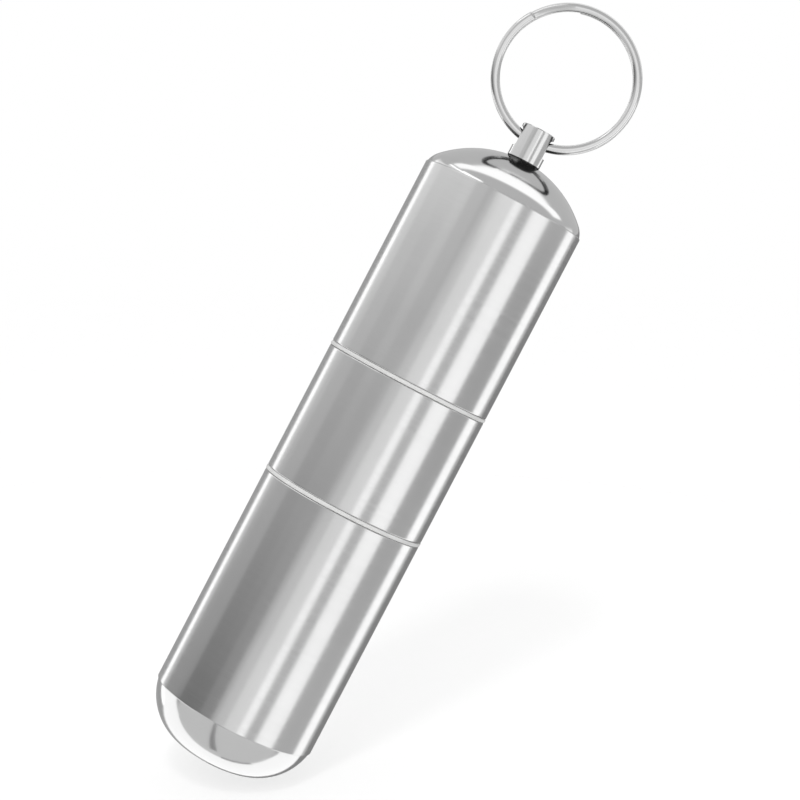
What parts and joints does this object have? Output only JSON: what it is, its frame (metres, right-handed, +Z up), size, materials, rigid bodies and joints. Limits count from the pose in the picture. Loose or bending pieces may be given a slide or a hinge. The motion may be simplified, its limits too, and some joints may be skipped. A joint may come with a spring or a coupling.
{
  "type": "pill fob keychain",
  "caption": "Slim domed steel capsule that hangs from a split key ring. It screws apart at both seams to open a pill chamber at each end.",
  "frame": {"origin": "centre of the key ring, in the plane of the ring", "axes": "+Z up along the capsule's axis, from the capsule to the ring; Y square to the ring's plane"},
  "size_m": [0.019, 0.019, 0.0932],
  "materials": {
    "satin_steel": "stainless, fine satin ground round the tube",
    "mirror_steel": "stainless, mirror polished",
    "post_steel": "stainless, fine turned",
    "ring_steel": "polished spring wire",
    "turned_steel": "stainless, as turned",
    "plain_steel": "bright zinc-free stainless hardware",
    "pale_rubber": "pale silicone, smooth",
    "black_rubber": "black rubber, matt"
  },
  "bodies": {
    "key_ring": {"split_ring": "ring_steel"},
    "upper_capsule": {"eye_post": "post_steel", "post_seal": "black_rubber", "post_washer": "plain_steel", "post_nut": "plain_steel", "upper_end_cap": "mirror_steel", "upper_tube": "satin_steel", "upper_thread_ring": "turned_steel"},
    "upper_seal": {"upper_gasket": "pale_rubber"},
    "coupler": {"coupler_core": "turned_steel", "middle_sleeve": "satin_steel"},
    "lower_seal": {"lower_gasket": "pale_rubber"},
    "lower_capsule": {"lower_thread_ring": "turned_steel", "lower_tube": "satin_steel", "lower_end_cap": "mirror_steel"}
  },
  "joints": [
    {"name": "ring_swing", "type": "hinge", "parent": "key_ring", "child": "upper_capsule", "pos_m": [0, 0, -0.00768], "axis": [1, 0, 0], "range_deg": [-130, 130]},
    {"name": "upper_travel", "type": "slide", "parent": "upper_capsule", "child": "upper_seal", "axis": [0, 0, -1], "range_m": [0, 0.012]},
    {"name": "upper_turn", "type": "hinge", "parent": "upper_seal", "child": "coupler", "pos_m": [0, 0, -0.0377], "axis": [0, 0, -1], "range_deg": [0, 2880]},
    {"name": "lower_travel", "type": "slide", "parent": "coupler", "child": "lower_seal", "axis": [0, 0, -1], "range_m": [0, 0.012]},
    {"name": "lower_turn", "type": "hinge", "parent": "lower_seal", "child": "lower_capsule", "pos_m": [0, 0, -0.0531], "axis": [0, 0, -1], "range_deg": [0, 2880]}
  ],
  "couplings": [
    {"joint": "upper_travel", "follows": "upper_turn", "m_per_rad": 0.00023873},
    {"joint": "lower_travel", "follows": "lower_turn", "m_per_rad": 0.00023873}
  ]
}
